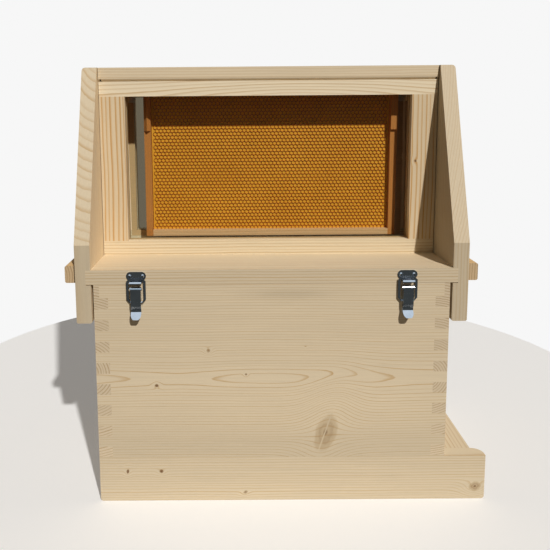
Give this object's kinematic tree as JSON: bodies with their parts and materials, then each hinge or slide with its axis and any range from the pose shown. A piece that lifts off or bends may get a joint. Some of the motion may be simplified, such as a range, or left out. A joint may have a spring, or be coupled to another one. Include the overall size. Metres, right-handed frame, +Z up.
{
  "type": "beehive",
  "caption": "Wooden observation beehive: finger-jointed box on rails with a landing board, under a lift-off glazed top showing one comb, held by draw latches.",
  "frame": {"origin": "under the middle of the whole outline, on the surface the hive stands on", "axes": "+Z up; the hive's front is towards -Y; the entrance and the landing board are at +X"},
  "size_m": [0.5422, 0.3114, 0.5661],
  "materials": {
    "base_wood": "bare softwood",
    "box_wood": "oiled softwood",
    "trim_wood": "bare softwood",
    "frame_wood": "planed softwood",
    "wax": "waxy",
    "glass": "clear",
    "zinc": "zinc plated",
    "latch_metal": "bright plated"
  },
  "bodies": {
    "hive_box": {"front_rail": "base_wood", "back_rail": "base_wood", "floor_cleats": "base_wood", "floor_boards": "base_wood", "landing_board": "base_wood", "front_wall": "box_wood", "back_wall": "box_wood", "left_wall": "box_wood", "right_wall": "box_wood", "end_liners": "box_wood", "frame_runners": "zinc", "latch_bases": "latch_metal", "base_screws": "latch_metal", "latch_pins": "latch_metal"},
    "entrance_slide": {"entrance_block": "trim_wood"},
    "dummy": {"dummy_board": "trim_wood"},
    "frame_1": {"nuc_frame_1": "frame_wood", "nuc_foundation_1": "wax"},
    "frame_2": {"nuc_frame_2": "frame_wood", "nuc_foundation_2": "wax"},
    "frame_3": {"nuc_frame_3": "frame_wood", "nuc_foundation_3": "wax"},
    "frame_4": {"nuc_frame_4": "frame_wood", "nuc_foundation_4": "wax"},
    "frame_5": {"nuc_frame_5": "frame_wood", "nuc_foundation_5": "wax"},
    "frame_6": {"nuc_frame_6": "frame_wood", "nuc_foundation_6": "wax"},
    "observation_top": {"shelf": "box_wood", "left_side_board": "box_wood", "right_side_board": "box_wood", "front_window_top_rail": "box_wood", "front_window_bottom_rail": "box_wood", "front_window_stiles": "box_wood", "back_window_top_rail": "box_wood", "back_window_bottom_rail": "box_wood", "back_window_stiles": "box_wood", "front_glass": "glass", "back_glass": "glass", "glazing_beads": "trim_wood", "frame_rests": "trim_wood", "queen_excluder": "zinc", "left_handle_batten": "trim_wood", "right_handle_batten": "trim_wood", "latch_hooks": "latch_metal", "hook_screws": "latch_metal"},
    "top_lid": {"lid": "box_wood"},
    "show_frame": {"show_top_bar": "frame_wood", "show_side_bars": "frame_wood", "show_bottom_bars": "frame_wood", "show_foundation": "wax"},
    "front_left_latch_lever": {"front_left_lever": "latch_metal"},
    "front_left_latch_loop": {"front_left_loop": "latch_metal"},
    "front_right_latch_lever": {"front_right_lever": "latch_metal"},
    "front_right_latch_loop": {"front_right_loop": "latch_metal"},
    "back_left_latch_lever": {"back_left_lever": "latch_metal"},
    "back_left_latch_loop": {"back_left_loop": "latch_metal"},
    "back_right_latch_lever": {"back_right_lever": "latch_metal"},
    "back_right_latch_loop": {"back_right_loop": "latch_metal"}
  },
  "joints": [
    {"name": "top_lift", "type": "slide", "parent": "hive_box", "child": "observation_top", "axis": [0, 0, 1], "range_m": [0, 0.26]},
    {"name": "lid_lift", "type": "slide", "parent": "observation_top", "child": "top_lid", "axis": [0, 0, 1], "range_m": [0, 0.26]},
    {"name": "show_frame_lift", "type": "slide", "parent": "observation_top", "child": "show_frame", "axis": [0, 0, 1], "range_m": [0, 0.234]},
    {"name": "entrance_block_slide", "type": "slide", "parent": "hive_box", "child": "entrance_slide", "axis": [1, 0, 0], "range_m": [0, 0.05]},
    {"name": "dummy_lift", "type": "slide", "parent": "hive_box", "child": "dummy", "axis": [0, 0, 1], "range_m": [0, 0.234]},
    {"name": "frame_1_lift", "type": "slide", "parent": "hive_box", "child": "frame_1", "axis": [0, 0, 1], "range_m": [0, 0.234]},
    {"name": "frame_2_lift", "type": "slide", "parent": "hive_box", "child": "frame_2", "axis": [0, 0, 1], "range_m": [0, 0.234]},
    {"name": "frame_3_lift", "type": "slide", "parent": "hive_box", "child": "frame_3", "axis": [0, 0, 1], "range_m": [0, 0.234]},
    {"name": "frame_4_lift", "type": "slide", "parent": "hive_box", "child": "frame_4", "axis": [0, 0, 1], "range_m": [0, 0.234]},
    {"name": "frame_5_lift", "type": "slide", "parent": "hive_box", "child": "frame_5", "axis": [0, 0, 1], "range_m": [0, 0.234]},
    {"name": "frame_6_lift", "type": "slide", "parent": "hive_box", "child": "frame_6", "axis": [0, 0, 1], "range_m": [0, 0.234]},
    {"name": "front_left_lever_turn", "type": "hinge", "parent": "hive_box", "child": "front_left_latch_lever", "pos_m": [-0.1784, -0.1462, 0.287], "axis": [-1, 0, 0], "range_deg": [0, 90]},
    {"name": "front_left_loop_turn", "type": "hinge", "parent": "front_left_latch_lever", "child": "front_left_latch_loop", "pos_m": [-0.1784, -0.144, 0.2704], "axis": [-1, 0, 0], "range_deg": [-66.6, 0]},
    {"name": "front_right_lever_turn", "type": "hinge", "parent": "hive_box", "child": "front_right_latch_lever", "pos_m": [0.1626, -0.1462, 0.287], "axis": [-1, 0, 0], "range_deg": [0, 90]},
    {"name": "front_right_loop_turn", "type": "hinge", "parent": "front_right_latch_lever", "child": "front_right_latch_loop", "pos_m": [0.1626, -0.144, 0.2704], "axis": [-1, 0, 0], "range_deg": [-66.6, 0]},
    {"name": "back_left_lever_turn", "type": "hinge", "parent": "hive_box", "child": "back_left_latch_lever", "pos_m": [-0.1784, 0.1462, 0.287], "axis": [1, 0, 0], "range_deg": [0, 90]},
    {"name": "back_left_loop_turn", "type": "hinge", "parent": "back_left_latch_lever", "child": "back_left_latch_loop", "pos_m": [-0.1784, 0.144, 0.2704], "axis": [1, 0, 0], "range_deg": [-66.6, 0]},
    {"name": "back_right_lever_turn", "type": "hinge", "parent": "hive_box", "child": "back_right_latch_lever", "pos_m": [0.1626, 0.1462, 0.287], "axis": [1, 0, 0], "range_deg": [0, 90]},
    {"name": "back_right_loop_turn", "type": "hinge", "parent": "back_right_latch_lever", "child": "back_right_latch_loop", "pos_m": [0.1626, 0.144, 0.2704], "axis": [1, 0, 0], "range_deg": [-66.6, 0]}
  ],
  "couplings": [
    {"joint": "show_frame_lift", "follows": "lid_lift", "ratio": 0.9},
    {"joint": "dummy_lift", "follows": "top_lift", "ratio": 0.9},
    {"joint": "frame_1_lift", "follows": "top_lift", "ratio": 0.9},
    {"joint": "frame_2_lift", "follows": "top_lift", "ratio": 0.9},
    {"joint": "frame_3_lift", "follows": "top_lift", "ratio": 0.9},
    {"joint": "frame_4_lift", "follows": "top_lift", "ratio": 0.9},
    {"joint": "frame_5_lift", "follows": "top_lift", "ratio": 0.9},
    {"joint": "frame_6_lift", "follows": "top_lift", "ratio": 0.9},
    {"joint": "front_left_loop_turn", "follows": "front_left_lever_turn", "ratio": -0.74},
    {"joint": "front_right_loop_turn", "follows": "front_right_lever_turn", "ratio": -0.74},
    {"joint": "back_left_loop_turn", "follows": "back_left_lever_turn", "ratio": -0.74},
    {"joint": "back_right_loop_turn", "follows": "back_right_lever_turn", "ratio": -0.74}
  ]
}
